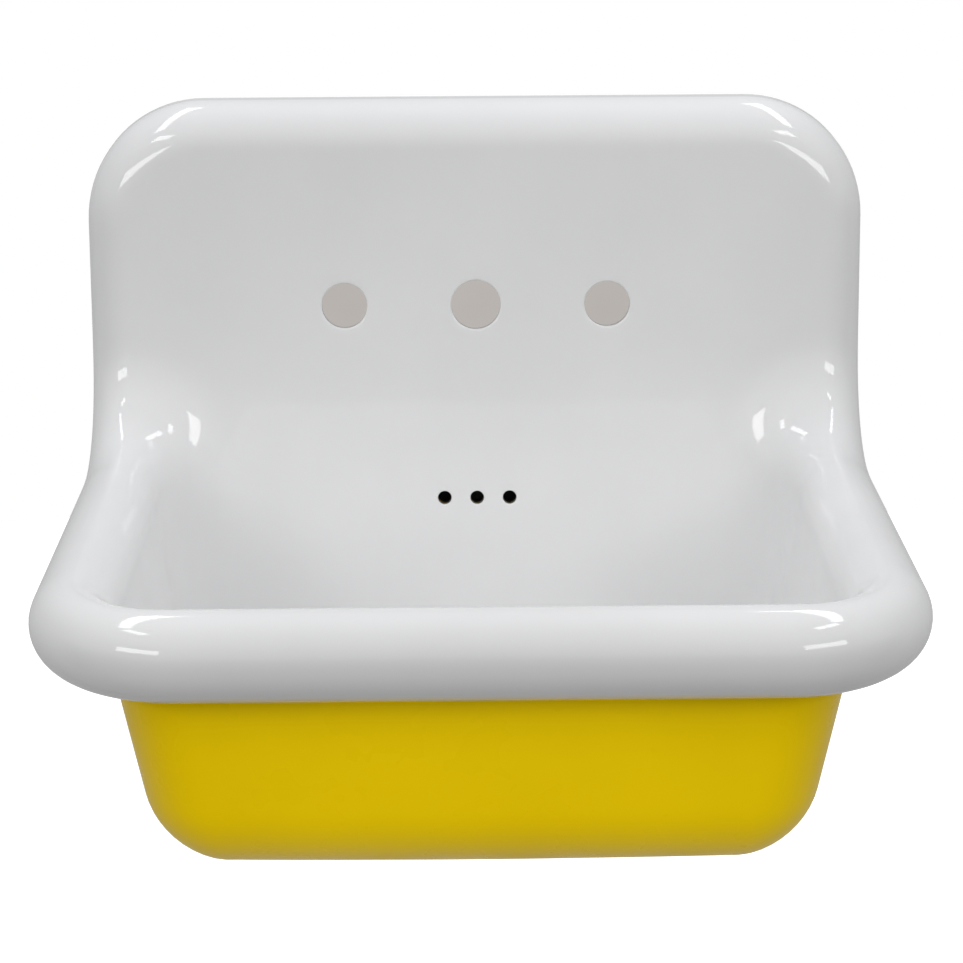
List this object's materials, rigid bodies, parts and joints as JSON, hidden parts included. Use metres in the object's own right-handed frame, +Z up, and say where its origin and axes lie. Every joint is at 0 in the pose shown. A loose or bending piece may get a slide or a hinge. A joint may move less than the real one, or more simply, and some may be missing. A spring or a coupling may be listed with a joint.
{
  "type": "wall-hung sink",
  "caption": "Wall-hung high-back sink with a rolled rim, faucet and overflow holes, a wall hanger, an overflow duct and a drain with a lift stopper.",
  "frame": {"origin": "centre of the wall hanger's back face, which lies on the wall", "axes": "+Z up, -Y out of the wall towards the user, +X to the user's right when facing the wall"},
  "size_m": [0.601, 0.505, 0.513],
  "materials": {
    "white_enamel": "glossy white vitreous enamel fused on cast iron",
    "yellow_enamel": "glossy yellow enamel on the outside of the basin",
    "bare_iron": "dark foundry coating",
    "zinc_steel": "zinc plated, dull",
    "chrome_plate": "polished chrome on brass",
    "raw_brass": "machined, unplated",
    "black_rubber": "matt moulded rubber",
    "fibre": "pressed vulcanised fibre",
    "plumbers_putty": "matt bedding putty"
  },
  "bodies": {
    "hanger": {"wall_hanger": "zinc_steel"},
    "sink": {"sink_casting": "white_enamel", "overflow_gasket": "black_rubber", "overflow_duct": "bare_iron", "overflow_screw_left": "zinc_steel", "overflow_screw_right": "zinc_steel", "flange_seal": "plumbers_putty", "drain_body": "chrome_plate", "stem_guide": "raw_brass", "collar_gasket": "black_rubber", "body_gasket": "black_rubber", "friction_washer": "fibre", "drain_locknut": "raw_brass"},
    "stopper": {"stopper_cap": "chrome_plate", "stopper_seal": "black_rubber", "stopper_stem": "raw_brass", "stopper_clip": "zinc_steel", "stopper_knob": "chrome_plate"}
  },
  "joints": [
    {"name": "sink_lift_off", "type": "slide", "parent": "hanger", "child": "sink", "axis": [0, 0, 1], "range_m": [0, 0.025]},
    {"name": "stopper_lift", "type": "slide", "parent": "sink", "child": "stopper", "axis": [0, 0, 1], "range_m": [0, 0.012]}
  ]
}
